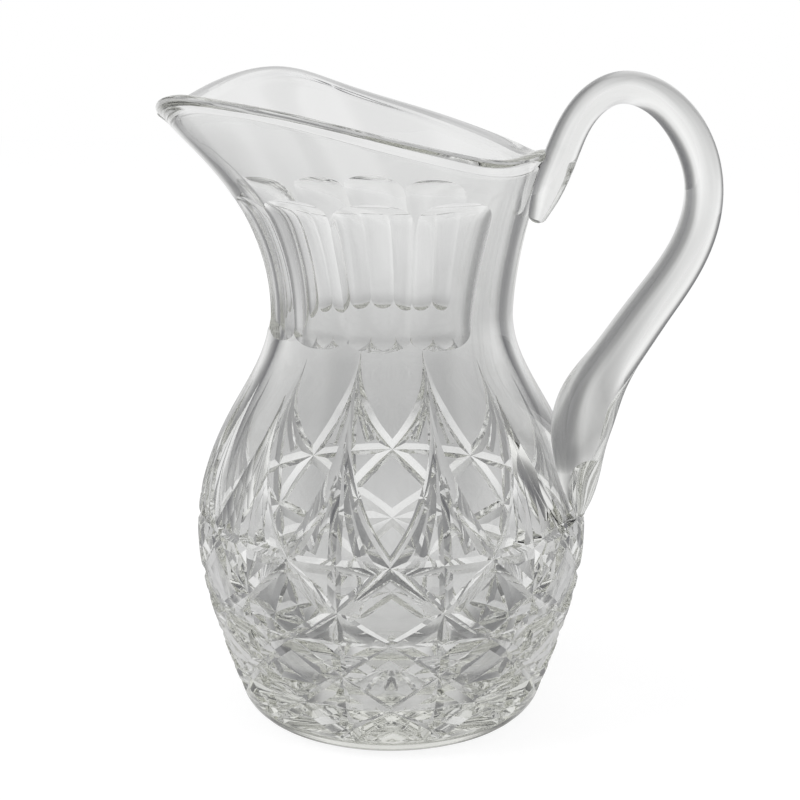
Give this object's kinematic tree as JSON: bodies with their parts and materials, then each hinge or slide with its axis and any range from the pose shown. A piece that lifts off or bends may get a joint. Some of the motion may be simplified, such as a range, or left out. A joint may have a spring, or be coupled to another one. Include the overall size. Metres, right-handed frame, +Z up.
{
  "type": "cut crystal jug",
  "caption": "Heavy wheel-cut crystal water jug with a pulled pouring spout, fluted neck, diamond-cut bowl and applied glass handle.",
  "frame": {"origin": "centre of the flat face that the jug stands on", "axes": "+Z up along the bowl's axis, +X from the axis towards the handle, so the spout points along -X, and +Y follows by the right-hand rule"},
  "size_m": [0.2008, 0.1406, 0.2313],
  "materials": {
    "crystal": "polished clear lead crystal"
  },
  "bodies": {
    "root": {"jug_body": "crystal", "handle": "crystal"}
  },
  "joints": []
}
